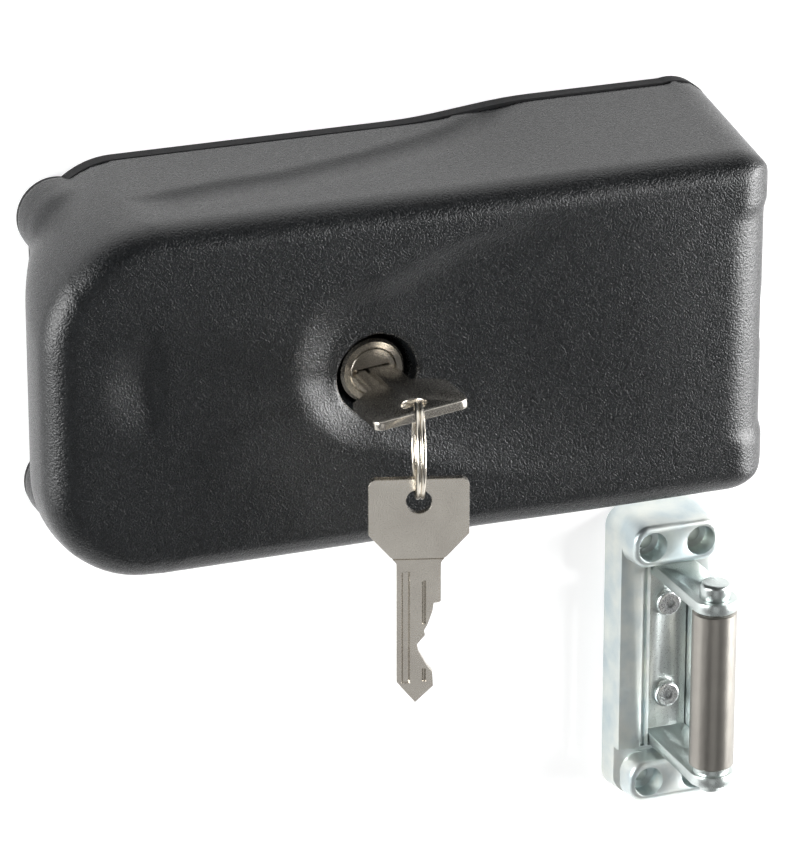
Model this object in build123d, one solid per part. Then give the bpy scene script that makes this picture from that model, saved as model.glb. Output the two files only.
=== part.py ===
from build123d import *
import math
import os

# Surface electric gate lock with its keys and its adjustable roller strike, in millimetres.
# The lock's back lies on the wall plane Y = 0, the front faces -Y, +X runs along the lock
# towards the hook end, and +Z is up. The origin is the centre of the four fixing holes.

# Case
CASE_LEFT = 92.0
CASE_RIGHT = 95.0
CASE_HALF_HEIGHT = 49.5
CASE_DEPTH = 52.0
CASE_WALL = 3.0
NOSE_BULGE = 12.0
RIGHT_DRAFT = 2.0
HEIGHT_DRAFT = 4.0
SHOULDER_RISE = 2.8
SHOULDER_START = 5.0
SHOULDER_END = 44.0
NOSE_TOP_RADIUS = 31.0
NOSE_LOW_RADIUS = 28.0
HOOK_END_RADIUS = 12.0
RIM_LEFT_RADIUS = 22.0
FRONT_ROUND = 7.5
INNER_ROUND = 4.0
LUG_RADIUS = 10.0
LUG_X = 85.0
LUG_Z = 35.5
LUG_DEPTH = 17.0
COLUMN_X = 83.5
COLUMN_RIM_RADIUS = 11.0
COLUMN_FRONT_RADIUS = 9.5

# Gasket and base plate
GASKET_THICKNESS = 4.0
GASKET_WIDTH = 6.0
PLATE_THICKNESS = 3.0
PLATE_GAP = 0.5
FIXING_SPACING_X = 158.0
FIXING_SPACING_Z = 60.0
FIXING_HOLE_RADIUS = 2.75
TAB_WIDTH = 16.0
TAB_HEIGHT = 15.0
TAB_THICKNESS = 2.5
TAB_ROUND = 3.0
TAB_X_LEFT = -50.0
TAB_X_RIGHT = 38.0
COVER_SCREW_RADIUS = 2.0
COVER_SCREW_HEAD = 3.6
COVER_SCREW_DEPTH = 12.0

# Cylinder, keys and ring
CYLINDER_X = -17.0
HEAD_RADIUS = 8.5
FACE_SINK = 6.0
RECESS_RADIUS = 10.75
RECESS_DEPTH = 8.5
RECESS_FLOOR = 2.0
DISH_RADIUS = 21.0
DISH_DEPTH = 3.2
PLUG_RADIUS = 6.25
CYLINDER_LENGTH = 29.5
FLANGE_THICKNESS = 3.0
FLANGE_HALF = 16.0
KEYWAY_GAP = 0.2
KEY_TILT = 7.0
BOW_WIDTH = 25.0
BOW_STRAIGHT = 15.6
BOW_LENGTH = 20.9
BOW_ROUND = 2.5
BOW_HOLE_RADIUS = 3.2
BOW_HOLE_INSET = 5.9
NECK_WIDTH = 10.4
NECK_LENGTH = 11.4
BLADE_WIDTH = 8.4
KEY_LENGTH = 60.0
KEY_THICKNESS = 2.2
BLADE_INSERTED = 26.4
RING_RADIUS = 11.4
RING_WIRE = 0.6
RING_TURN = 18.0

# Hook bolt and its bracket
PIVOT_X = 81.5
PIVOT_Y = -37.0
PIN_RADIUS = 4.0
HOOK_THICKNESS = 10.0
HOOK_RADIUS = 31.0
HOOK_SWING = 90.0
ROLLER_REACH = 19.5
ROLLER_RADIUS = 6.0
FINGER_THICKNESS = 5.2
HUB_RADIUS = 10.5
RATCHET_RADIUS = 8.2
RATCHET_HEIGHT = 5.0
SHEET = 2.0
SIDE_GAP = 0.6
SPRING_ROOM = 4.0
BRACKET_LEFT = 44.0
BRACKET_RIGHT = 89.0
BRACKET_TOP_Y = -46.0
SLOT_CLEARANCE = 1.2
RUNNING = 0.05

# Catch
CATCH_X = 50.0
CATCH_Y = -12.0
CATCH_PIN_RADIUS = 2.5
CATCH_BOSS = 5.0
CATCH_THICKNESS = 3.8
CATCH_ANGLE = 14.0
TIP_GAP = 0.4
TAIL_ARM = 18.0
LINK_ARM = 15.0
LINK_PIN_RADIUS = 1.5
LINK_PIN_GAP = 0.3

# Solenoid
COIL_Z = 24.0
COIL_LEFT = -70.0
COIL_LENGTH = 36.0
COIL_RADIUS = 12.5
BOBBIN_BORE = 5.1
BOBBIN_WALL = 1.3
BOBBIN_FLANGE = 1.5
YOKE_THICKNESS = 2.5
YOKE_HALF_WIDTH = 13.0
PLUNGER_RADIUS = 5.0
PLUNGER_OUT = 10.0
LINK_THICKNESS = 2.0
LINK_WIDTH = 6.0

# Release slide
SLIDE_THICKNESS = 2.0
SLIDE_LOW = -10.0
SLIDE_HIGH = 12.0
SLIDE_GAP = 0.5
CAM_RADIUS = 7.5
CAM_THICKNESS = 3.0
CAM_THROW = 4.5
CAM_TURN = 60.0
CAM_PIN_RADIUS = 2.0
CAM_PIN_GAP = 0.3
STUD_RADIUS = 2.5
STUD_HEAD = 4.5

# Screws and wiring
SCREW_RADIUS = 2.0
SCREW_HEAD_RADIUS = 3.6
SCREW_HEAD_HEIGHT = 2.2
SOCKET_RADIUS = 1.5
CABLE_RADIUS = 4.0
GROMMET_WALL = 2.0
CABLE_X = -66.0
CABLE_Z = -8.0
TERMINAL_X = -50.0
TERMINAL_Z = -26.0

# Strike
STRIKE_X = 82.0
STRIKE_Z = -108.0
STRIKE_WIDTH = 28.0
STRIKE_HEIGHT = 84.0
STRIKE_CAP = 15.0
STRIKE_CAP_DEPTH = 16.0
STRIKE_BODY_DEPTH = 9.0
STRIKE_ROUND = 6.0
STRIKE_HOLE_RADIUS = 2.25
STRIKE_HOLE_SPACING = 14.0
STRIKE_HOLE_INSET = 7.5
ARM_THICKNESS = 3.0
ARM_WIDTH = 12.0
ARM_GAP = 0.4
ROLLER_OUT = 36.0
AXLE_RADIUS = 3.0
AXLE_HEAD = 4.2
ROLLER_END_GAP = 0.5
WASHER_THICKNESS = 1.5

# Shared places worked out from the sizes
FRONT_Y = -CASE_DEPTH
FACE_Y = FRONT_Y + FACE_SINK
CYLINDER_BACK_Y = FACE_Y + CYLINDER_LENGTH
PLUG_BACK_Y = CYLINDER_BACK_Y + SHEET
CHEEK_LOW = -HOOK_THICKNESS / 2 - SIDE_GAP
CHEEK_HIGH = HOOK_THICKNESS / 2 + RATCHET_HEIGHT + SPRING_ROOM
CATCH_LOW = HOOK_THICKNESS / 2 + SIDE_GAP
UPPER_ARM_LOW = COIL_Z - LINK_THICKNESS / 2 - CATCH_THICKNESS
COIL_Y = CATCH_Y - LINK_ARM
SLIDE_Y = -PLATE_THICKNESS - SHEET - SLIDE_GAP


def at_depth(depth, x=0.0, z=0.0):
    """A drawing plane parallel to the wall, with its normal towards the viewer."""
    return Plane(origin=(x, -depth, z), x_dir=(1, 0, 0), z_dir=(0, -1, 0))


def disc(radius, x, z, near, far):
    """A round bar along Y from depth near to depth far."""
    return extrude(at_depth(near, x, z) * Circle(radius), far - near)


def slab(x0, x1, y0, y1, z0, z1):
    """A plain block between two corners."""
    size = (abs(x1 - x0), abs(y1 - y0), abs(z1 - z0))
    return Pos((x0 + x1) / 2, (y0 + y1) / 2, (z0 + z1) / 2) * Box(*size)


def upright(radius, x, y, z0, z1):
    """A round bar along Z."""
    return Pos(x, y, z0) * Cylinder(radius, z1 - z0, align=(Align.CENTER, Align.CENTER, Align.MIN))


def sector(radius, start, end, thickness):
    """A pie slice about the Z axis, angles in degrees."""
    a, b = math.radians(start), math.radians(end)
    first = (radius * math.cos(a), radius * math.sin(a))
    last = (radius * math.cos(b), radius * math.sin(b))
    m = math.radians((start + end) / 2)
    middle = (radius * math.cos(m), radius * math.sin(m))
    edges = [Line((0, 0), first), ThreePointArc(first, middle, last), Line(last, (0, 0))]
    return extrude(make_face(Wire(edges)), thickness)


def hex_socket_screw(length):
    """A pan-headed screw along +Z with its head's top at the origin."""
    head = Pos(0, 0, 0) * Cylinder(SCREW_HEAD_RADIUS, SCREW_HEAD_HEIGHT, align=(Align.CENTER, Align.CENTER, Align.MIN))
    head = fillet(head.edges().filter_by(GeomType.CIRCLE).sort_by(Axis.Z)[0], 0.8)
    shank = Cylinder(SCREW_RADIUS, length, align=(Align.CENTER, Align.CENTER, Align.MIN))
    socket = extrude(RegularPolygon(SOCKET_RADIUS, 6), 1.2)
    return head + Pos(0, 0, SCREW_HEAD_HEIGHT) * shank - socket


def screw_into_wall(x, z, seat_depth, length):
    """A screw that enters towards the wall, its head standing on the given depth."""
    plane = Plane(origin=(x, -seat_depth - SCREW_HEAD_HEIGHT, z), x_dir=(1, 0, 0), z_dir=(0, 1, 0))
    return plane * hex_socket_screw(length)


def case_wire(depth, inset=0.0):
    """The case's outline at one depth, drawn as tangent lines, corner arcs and shoulder curves."""
    share = (depth - GASKET_THICKNESS) / (CASE_DEPTH - GASKET_THICKNESS)
    left = -CASE_LEFT - NOSE_BULGE * math.sin(math.pi / 2 * min(1.0, share * 1.25)) + inset
    right = CASE_RIGHT - RIGHT_DRAFT * share - inset
    top = CASE_HALF_HEIGHT - HEIGHT_DRAFT * share - inset
    rise = SHOULDER_RISE * (1 - share)
    upper = RIM_LEFT_RADIUS + (NOSE_TOP_RADIUS - RIM_LEFT_RADIUS) * share - inset
    lower = RIM_LEFT_RADIUS + (NOSE_LOW_RADIUS - RIM_LEFT_RADIUS) * share - inset
    hook = HOOK_END_RADIUS - inset
    high = top + rise
    half = math.sqrt(0.5)

    def corner(cx, cz, radius, first, middle, last):
        """One corner arc through three directions from its centre."""
        points = [(cx + radius * u, cz + radius * v) for u, v in (first, middle, last)]
        return ThreePointArc(*points)

    edges = [
        Line((left + upper, top), (SHOULDER_START, top)),
        Spline((SHOULDER_START, top), (SHOULDER_END, high), tangents=((1, 0), (1, 0))),
        Line((SHOULDER_END, high), (right - hook, high)),
        corner(right - hook, high - hook, hook, (0, 1), (half, half), (1, 0)),
        Line((right, high - hook), (right, -high + hook)),
        corner(right - hook, -high + hook, hook, (1, 0), (half, -half), (0, -1)),
        Line((right - hook, -high), (SHOULDER_END, -high)),
        Spline((SHOULDER_END, -high), (SHOULDER_START, -top), tangents=((-1, 0), (-1, 0))),
        Line((SHOULDER_START, -top), (left + lower, -top)),
        corner(left + lower, -top + lower, lower, (0, -1), (-half, -half), (-1, 0)),
        Line((left, -top + lower), (left, top - upper)),
        corner(left + upper, top - upper, upper, (-1, 0), (-half, half), (0, 1)),
    ]
    return Wire([at_depth(depth) * edge for edge in edges])


def case_body(near, far, inset=0.0):
    """A solid between two depths that follows the case's outline."""
    steps = [near + (far - near) * i / 3 for i in range(4)]
    return Solid.make_loft([case_wire(depth, inset) for depth in steps])


def corner_column(side, near, far, grow=0.0):
    """The rounded column that carries a corner at the hook end."""
    rim = COLUMN_RIM_RADIUS + grow
    front = COLUMN_FRONT_RADIUS + grow
    top = CASE_HALF_HEIGHT + SHOULDER_RISE + 0.3
    rim_face = at_depth(near, COLUMN_X, side * (top - COLUMN_RIM_RADIUS)) * Circle(rim)
    low = CASE_HALF_HEIGHT - HEIGHT_DRAFT
    front_face = at_depth(far, COLUMN_X, side * (low - COLUMN_FRONT_RADIUS)) * Circle(front)
    return loft([rim_face, front_face])


def rim_lug(side, near, far):
    """The round lug that stands out beside the nose."""
    lug = disc(LUG_RADIUS, -LUG_X, side * LUG_Z, near, far)
    return fillet(lug.edges().filter_by(GeomType.CIRCLE).sort_by(Axis.Y)[0], 4.0)


def rim_solid(near, far, inset=0.0):
    """The rim's full outline, lugs included, between two depths."""
    body = extrude(Face(case_wire(GASKET_THICKNESS, inset)), far - near, dir=(0, -1, 0))
    body = Pos(0, GASKET_THICKNESS - near, 0) * body
    for side in (1, -1):
        body += disc(LUG_RADIUS - inset, -LUG_X, side * LUG_Z, near, far)
        top = CASE_HALF_HEIGHT + SHOULDER_RISE + 0.3 - COLUMN_RIM_RADIUS
        body += disc(COLUMN_RIM_RADIUS - inset, COLUMN_X, side * top, near, far)
    return body


def cover():
    """The die-cast case: lofted shell with nose, corner lugs, key recess and hook slot."""
    outer = case_body(GASKET_THICKNESS, CASE_DEPTH)
    outer = fillet(outer.faces().sort_by(Axis.Y)[0].edges(), FRONT_ROUND)
    inner = case_body(GASKET_THICKNESS, CASE_DEPTH - CASE_WALL, CASE_WALL)
    inner = fillet(inner.faces().sort_by(Axis.Y)[0].edges(), INNER_ROUND)
    for side in (1, -1):
        outer += rim_lug(side, GASKET_THICKNESS, LUG_DEPTH)
        outer += corner_column(side, GASKET_THICKNESS, CASE_DEPTH - FRONT_ROUND - 1)
    boss = disc(RECESS_RADIUS + CASE_WALL, CYLINDER_X, 0, CASE_DEPTH - RECESS_DEPTH - RECESS_FLOOR, CASE_DEPTH - 1)
    shell = outer - inner + boss
    ball = (DISH_RADIUS ** 2 + DISH_DEPTH ** 2) / (2 * DISH_DEPTH)
    shell += disc(DISH_RADIUS + CASE_WALL, CYLINDER_X, 0, CASE_DEPTH - CASE_WALL - DISH_DEPTH, CASE_DEPTH - CASE_WALL)
    shell -= Pos(CYLINDER_X, FRONT_Y + DISH_DEPTH - ball, 0) * Sphere(ball)
    shell -= disc(RECESS_RADIUS, CYLINDER_X, 0, CASE_DEPTH - RECESS_DEPTH, CASE_DEPTH + 1)
    shell -= disc(HEAD_RADIUS + 0.4, CYLINDER_X, 0, CASE_DEPTH - RECESS_DEPTH - RECESS_FLOOR - 1, CASE_DEPTH)
    half_slot = HOOK_THICKNESS / 2 + SLOT_CLEARANCE
    shell -= slab(BRACKET_RIGHT, CASE_RIGHT + 2, -PLATE_THICKNESS - SHEET, BRACKET_TOP_Y, -half_slot, half_slot)
    for x in (TAB_X_LEFT, TAB_X_RIGHT):
        hole = upright(COVER_SCREW_RADIUS + 0.2, x, -COVER_SCREW_DEPTH, -CASE_HALF_HEIGHT - 5, -CASE_HALF_HEIGHT + 9)
        shell -= hole
    return shell


def cover_gasket():
    """The soft band between the cover's rim and the wall."""
    ring = rim_solid(0, GASKET_THICKNESS)
    return ring - rim_solid(-1, GASKET_THICKNESS + 1, GASKET_WIDTH)


def tab_top():
    """The height at which the base plate's tabs meet the cover's lower wall."""
    return -(CASE_HALF_HEIGHT - HEIGHT_DRAFT - CASE_WALL - 2.0)


def fixing_places():
    """The centres of the four wall fixings."""
    return [(i * FIXING_SPACING_X / 2, j * FIXING_SPACING_Z / 2) for i in (-1, 1) for j in (-1, 1)]


def base_plate():
    """The steel plate that lies on the wall and carries the mechanism."""
    outline = case_wire(GASKET_THICKNESS, GASKET_WIDTH + PLATE_GAP)
    plate = Pos(0, GASKET_THICKNESS, 0) * extrude(Face(outline), PLATE_THICKNESS, dir=(0, -1, 0))
    for x, z in fixing_places():
        plate -= disc(FIXING_HOLE_RADIUS, x, z, -1, PLATE_THICKNESS + 1)
    for x, z in screw_places():
        plate -= disc(SCREW_RADIUS + RUNNING, x, z, -1, PLATE_THICKNESS + 1)
    for x in stud_places():
        plate -= disc(STUD_RADIUS + RUNNING, x, slide_slot_z(), -1, PLATE_THICKNESS + 1)
    plate -= disc(CABLE_RADIUS + GROMMET_WALL, CABLE_X, CABLE_Z, -1, PLATE_THICKNESS + 1)
    return plate


def cover_tabs():
    """Two tapped steel tabs, welded upright on the base plate, that take the cover's screws."""
    tabs = []
    low = tab_top()
    for x in (TAB_X_LEFT, TAB_X_RIGHT):
        tab = slab(
            x - TAB_WIDTH / 2, x + TAB_WIDTH / 2,
            -PLATE_THICKNESS, -PLATE_THICKNESS - TAB_HEIGHT,
            low, low + TAB_THICKNESS,
        )
        front = tab.edges().filter_by(Axis.Z).group_by(Axis.Y)[0]
        tab = fillet(front, TAB_ROUND)
        hole = upright(COVER_SCREW_RADIUS + RUNNING, x, -COVER_SCREW_DEPTH, low - 1, low + TAB_THICKNESS + 1)
        tabs.append(tab - hole)
    return tabs


def screw_places():
    """The centres of the screws that hold brackets and yoke to the base plate."""
    bracket = [(x, z) for x in (59.5, 69.5) for z in (CHEEK_LOW - SHEET - 6, CHEEK_HIGH + SHEET + 6)]
    yoke = [(COIL_LEFT + 6, COIL_Z), (COIL_LEFT + COIL_LENGTH - 6, COIL_Z)]
    cylinder = [(CYLINDER_X, side * (FLANGE_HALF + SHEET + 6)) for side in (1, -1)]
    return bracket + yoke + cylinder


def frame_screws():
    """All the equal screws that hold the inner brackets."""
    length = SHEET + PLATE_THICKNESS
    return [screw_into_wall(x, z, PLATE_THICKNESS + SHEET, length) for x, z in screw_places()]


def cover_screws():
    """Two screws that enter the cover's lower wall and hold it to the tabs."""
    screws = []
    for x in (TAB_X_LEFT, TAB_X_RIGHT):
        share = (COVER_SCREW_DEPTH - GASKET_THICKNESS) / (CASE_DEPTH - GASKET_THICKNESS)
        wall = CASE_HALF_HEIGHT - HEIGHT_DRAFT * share
        if x > SHOULDER_START:
            wall += SHOULDER_RISE * (1 - share)
        start = -wall - SCREW_HEAD_HEIGHT - 0.6
        screws.append(Pos(x, -COVER_SCREW_DEPTH, start) * hex_socket_screw(wall + tab_top() + 6))
    return screws


def bolt_bracket():
    """The folded steel bracket whose two cheeks carry the hook's pin and the catch's pin."""
    floor_y = -PLATE_THICKNESS - SHEET
    body = slab(BRACKET_LEFT, BRACKET_RIGHT, -PLATE_THICKNESS, floor_y, CHEEK_LOW - SHEET, CHEEK_HIGH + SHEET)
    for low in (CHEEK_LOW - SHEET, CHEEK_HIGH):
        cheek = slab(BRACKET_LEFT, BRACKET_RIGHT, -PLATE_THICKNESS, BRACKET_TOP_Y, low, low + SHEET)
        corners = cheek.edges().filter_by(Axis.Z).group_by(Axis.Y)[0]
        body += fillet(corners, 6.0)
    for low, high in ((CHEEK_LOW - SHEET - 12, CHEEK_LOW), (CHEEK_HIGH, CHEEK_HIGH + SHEET + 12)):
        body += slab(54.0, 75.0, -PLATE_THICKNESS, floor_y, low, high)
    body -= upright(PIN_RADIUS, PIVOT_X, PIVOT_Y, CHEEK_LOW - 5, CHEEK_HIGH + 5)
    body -= upright(CATCH_PIN_RADIUS, CATCH_X, CATCH_Y, CHEEK_LOW - 5, CHEEK_HIGH - 1)
    body -= upright(CATCH_BOSS + 0.6, CATCH_X, CATCH_Y, CHEEK_HIGH - 1, CHEEK_HIGH + 5)
    for x, z in screw_places()[:4]:
        body -= disc(SCREW_RADIUS + RUNNING, x, z, 0, PLATE_THICKNESS + SHEET + 1)
    return body


def hook_bolt():
    """The rotary hook: a claw that closes round the strike's roller, with its ratchet disc."""
    inner = HOOK_RADIUS - FINGER_THICKNESS
    slot_end = 20.0
    blank = sector(HOOK_RADIUS, -14, 30, HOOK_THICKNESS) + sector(HOOK_RADIUS, 30, 76, HOOK_THICKNESS)
    slot = sector(inner, -89, slot_end, HOOK_THICKNESS)
    end = Pos(
        ROLLER_REACH * math.cos(math.radians(slot_end)),
        ROLLER_REACH * math.sin(math.radians(slot_end)),
        0,
    )
    width = inner - (ROLLER_REACH * 2 - inner)
    slot += end * Cylinder(width / 2, HOOK_THICKNESS, align=(Align.CENTER, Align.CENTER, Align.MIN))
    claw = blank - slot
    claw = fillet(claw.edges().filter_by(Axis.Z).sort_by(Axis.Y)[:2], 2.0)
    hub = Cylinder(HUB_RADIUS, HOOK_THICKNESS, align=(Align.CENTER, Align.CENTER, Align.MIN))
    ratchet = Cylinder(RATCHET_RADIUS, RATCHET_HEIGHT, align=(Align.CENTER, Align.CENTER, Align.MIN))
    ratchet -= Rot(0, 0, 168) * Pos(RATCHET_RADIUS, 0, 0) * Box(5, 5, 20)
    body = claw + hub + Pos(0, 0, HOOK_THICKNESS) * ratchet
    body -= Cylinder(PIN_RADIUS + RUNNING, 4 * HOOK_THICKNESS)
    return Pos(PIVOT_X, PIVOT_Y, -HOOK_THICKNESS / 2) * Rot(0, 0, HOOK_SWING) * body


def bolt_pin():
    """The hook's pivot pin, headed below the lower cheek."""
    low = CHEEK_LOW - SHEET
    high = CHEEK_HIGH + SHEET + 3
    pin = upright(PIN_RADIUS, PIVOT_X, PIVOT_Y, low, high)
    pin += upright(PIN_RADIUS + 1.5, PIVOT_X, PIVOT_Y, low - 2, low)
    groove = upright(PIN_RADIUS + 1, PIVOT_X, PIVOT_Y, high - 2.4, high - 1.4)
    return pin - (groove - upright(PIN_RADIUS - 0.6, PIVOT_X, PIVOT_Y, high - 2.4, high - 1.4))


def circlip(x, y, z, radius, thickness):
    """A retaining ring with its opening on the -Y side."""
    ring = upright(radius + 1.6, x, y, z, z + thickness) - upright(radius, x, y, z - 1, z + thickness + 1)
    return ring - slab(x - radius * 0.7, x + radius * 0.7, y, y - radius - 3, z - 1, z + thickness + 1)


def pin_clips():
    """The retaining ring of the hook's pin."""
    high = CHEEK_HIGH + SHEET + 3
    return circlip(PIVOT_X, PIVOT_Y, high - 2.3, PIN_RADIUS - 0.6, 0.8)


def coil_spring(radius, wire, pitch, height):
    """A round-wire coil along Z from the origin."""
    path = Helix(pitch=pitch, height=height, radius=radius)
    section = Plane(origin=path @ 0, z_dir=path % 0) * Circle(wire / 2)
    return sweep(section, path=path)


def bolt_spring():
    """The torsion spring that drives the hook, coiled on its pin above the ratchet disc."""
    base = HOOK_THICKNESS / 2 + RATCHET_HEIGHT + 0.9
    return Pos(PIVOT_X, PIVOT_Y, base) * coil_spring(PIN_RADIUS + 1.6, 1.0, 1.1, 2.2)


def catch_tip():
    """The point at which the catch stands off the ratchet disc's rim."""
    angle = math.radians(168)
    reach = RATCHET_RADIUS + TIP_GAP
    return PIVOT_X + reach * math.cos(angle), PIVOT_Y + reach * math.sin(angle)


def strut(x0, y0, x1, y1, width, z, thickness):
    """A flat bar with rounded ends between two points."""
    length = math.hypot(x1 - x0, y1 - y0)
    turn = math.degrees(math.atan2(y1 - y0, x1 - x0))
    shape = SlotCenterToCenter(length, width)
    return Pos((x0 + x1) / 2, (y0 + y1) / 2, z) * Rot(0, 0, turn) * extrude(shape, thickness)


def catch_lever():
    """The catch: one tube on its pin, a nose and a tail arm below, and a pull arm above."""
    tip_x, tip_y = catch_tip()
    top = UPPER_ARM_LOW + CATCH_THICKNESS
    body = upright(CATCH_BOSS, CATCH_X, CATCH_Y, CATCH_LOW, top)
    reach = math.hypot(tip_x - CATCH_X, tip_y - CATCH_Y)
    back = 1 - 2.5 / reach
    nose_x = CATCH_X + (tip_x - CATCH_X) * back - 1.5
    nose_y = CATCH_Y + (tip_y - CATCH_Y) * back
    body += strut(CATCH_X, CATCH_Y, nose_x, nose_y, 5.0, CATCH_LOW, CATCH_THICKNESS)
    body += strut(CATCH_X, CATCH_Y, CATCH_X, CATCH_Y - TAIL_ARM, 6.0, CATCH_LOW, CATCH_THICKNESS)
    tail_pin = upright(LINK_PIN_RADIUS, CATCH_X, CATCH_Y - TAIL_ARM, CATCH_LOW, CHEEK_HIGH - SIDE_GAP)
    arm_end = CATCH_Y - LINK_ARM - 4
    body += tail_pin + strut(CATCH_X, CATCH_Y, CATCH_X, arm_end, 7.5, UPPER_ARM_LOW, CATCH_THICKNESS)
    slot = SlotCenterToCenter(3.0, 2 * (LINK_PIN_RADIUS + LINK_PIN_GAP))
    place = Pos(CATCH_X, COIL_Y, UPPER_ARM_LOW - 1) * Rot(0, 0, 90)
    body -= place * extrude(slot, CATCH_THICKNESS + 2)
    return body - upright(CATCH_PIN_RADIUS + RUNNING, CATCH_X, CATCH_Y, -20, 40)


def catch_pin():
    """The catch's pivot pin, riveted in the lower cheek."""
    top = UPPER_ARM_LOW + CATCH_THICKNESS + 2.5
    pin = upright(CATCH_PIN_RADIUS, CATCH_X, CATCH_Y, CHEEK_LOW - SHEET - 1, top)
    groove = upright(CATCH_PIN_RADIUS + 1, CATCH_X, CATCH_Y, top - 2, top - 1)
    return pin - (groove - upright(CATCH_PIN_RADIUS - 0.5, CATCH_X, CATCH_Y, top - 2, top - 1))


def catch_clip():
    """The retaining ring of the catch's pin."""
    top = UPPER_ARM_LOW + CATCH_THICKNESS + 2.5
    return circlip(CATCH_X, CATCH_Y, top - 1.9, CATCH_PIN_RADIUS - 0.5, 0.7)


def catch_spring():
    """The torsion spring that presses the catch towards the ratchet disc."""
    return Pos(CATCH_X, CATCH_Y, CHEEK_LOW + 1.2) * coil_spring(CATCH_PIN_RADIUS + 1.2, 0.9, 1.6, 6.4)


def along_x(solid, x, y, z):
    """Lays a body that was made along Z on the X axis."""
    return Pos(x, y, z) * Rot(0, 90, 0) * solid


def tube(radius, bore, length):
    """A plain tube along Z from the origin."""
    low = (Align.CENTER, Align.CENTER, Align.MIN)
    return Cylinder(radius, length, align=low) - Cylinder(bore, length, align=low)


def coil_bobbin():
    """The moulded spool of the solenoid."""
    core = tube(BOBBIN_BORE + BOBBIN_WALL, BOBBIN_BORE, COIL_LENGTH)
    flange = tube(COIL_RADIUS + 0.5, BOBBIN_BORE, BOBBIN_FLANGE)
    body = core + flange + Pos(0, 0, COIL_LENGTH - BOBBIN_FLANGE) * flange
    return along_x(body, COIL_LEFT, COIL_Y, COIL_Z)


def coil_winding():
    """The copper winding between the spool's flanges."""
    wound = tube(COIL_RADIUS, BOBBIN_BORE + BOBBIN_WALL, COIL_LENGTH - 2 * BOBBIN_FLANGE)
    return along_x(wound, COIL_LEFT + BOBBIN_FLANGE, COIL_Y, COIL_Z)


def coil_yoke():
    """The solenoid's folded iron frame, standing on the base plate."""
    left = COIL_LEFT - YOKE_THICKNESS
    right = COIL_LEFT + COIL_LENGTH + YOKE_THICKNESS
    roof = COIL_Y - COIL_RADIUS - 1
    low, high = COIL_Z - YOKE_HALF_WIDTH, COIL_Z + YOKE_HALF_WIDTH
    body = slab(left, right, roof, roof - YOKE_THICKNESS, low, high)
    for x in (left, right - YOKE_THICKNESS):
        body += slab(x, x + YOKE_THICKNESS, -PLATE_THICKNESS, roof, low, high)
    for x0, x1 in ((left, COIL_LEFT + 11), (COIL_LEFT + COIL_LENGTH - 11, right)):
        body += slab(x0, x1, -PLATE_THICKNESS, -PLATE_THICKNESS - SHEET, low, high)
    body -= along_x(Cylinder(PLUNGER_RADIUS + 0.3, 12), right, COIL_Y, COIL_Z)
    for x, z in screw_places()[4:6]:
        body -= disc(SCREW_RADIUS + RUNNING, x, z, 0, PLATE_THICKNESS + SHEET + 1)
    return body


def link_left():
    """The left end of the pull link, inside the plunger's fork."""
    return COIL_LEFT + COIL_LENGTH + YOKE_THICKNESS + PLUNGER_OUT - 6


def plunger():
    """The iron plunger with a collar for its spring and a fork for the link."""
    right = COIL_LEFT + COIL_LENGTH + YOKE_THICKNESS + PLUNGER_OUT
    left = COIL_LEFT + 6
    body = along_x(Cylinder(PLUNGER_RADIUS, right - left), (left + right) / 2, COIL_Y, COIL_Z)
    body = chamfer(body.edges().filter_by(GeomType.CIRCLE).sort_by(Axis.X)[0], 1.0)
    half = LINK_THICKNESS / 2
    return body - slab(link_left(), right + 1, COIL_Y - 9, COIL_Y + 9, COIL_Z - half, COIL_Z + half)


def plunger_spring():
    """The spring that pushes the plunger out again."""
    start = COIL_LEFT + COIL_LENGTH + YOKE_THICKNESS + 0.7
    return along_x(coil_spring(PLUNGER_RADIUS + 1.1, 0.9, 1.5, 3.4), start, COIL_Y, COIL_Z)


def pull_link():
    """The flat link from the plunger to the catch's pull arm, with its riveted pin."""
    start = link_left()
    half = LINK_THICKNESS / 2
    middle = strut(start + LINK_WIDTH / 2, COIL_Y, CATCH_X, COIL_Y, LINK_WIDTH, COIL_Z - half, LINK_THICKNESS)
    body = middle + slab(start, start + 6, COIL_Y - 3, COIL_Y + 3, COIL_Z - half, COIL_Z + half)
    return body + upright(LINK_PIN_RADIUS, CATCH_X, COIL_Y, UPPER_ARM_LOW - 0.5, COIL_Z)


def cam_pin_place():
    """The cam pin's centre at rest, on the lower side of the cylinder's axis."""
    start = math.radians(CAM_TURN / 2)
    return CYLINDER_X + CAM_THROW * math.sin(start), -CAM_THROW * math.cos(start)


def stud_places():
    """The X of the two guide studs."""
    return (6.0, 30.0)


def slide_slot_z():
    """The height of the slide's guide slots."""
    return (SLIDE_LOW + SLIDE_HIGH) / 2


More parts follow.
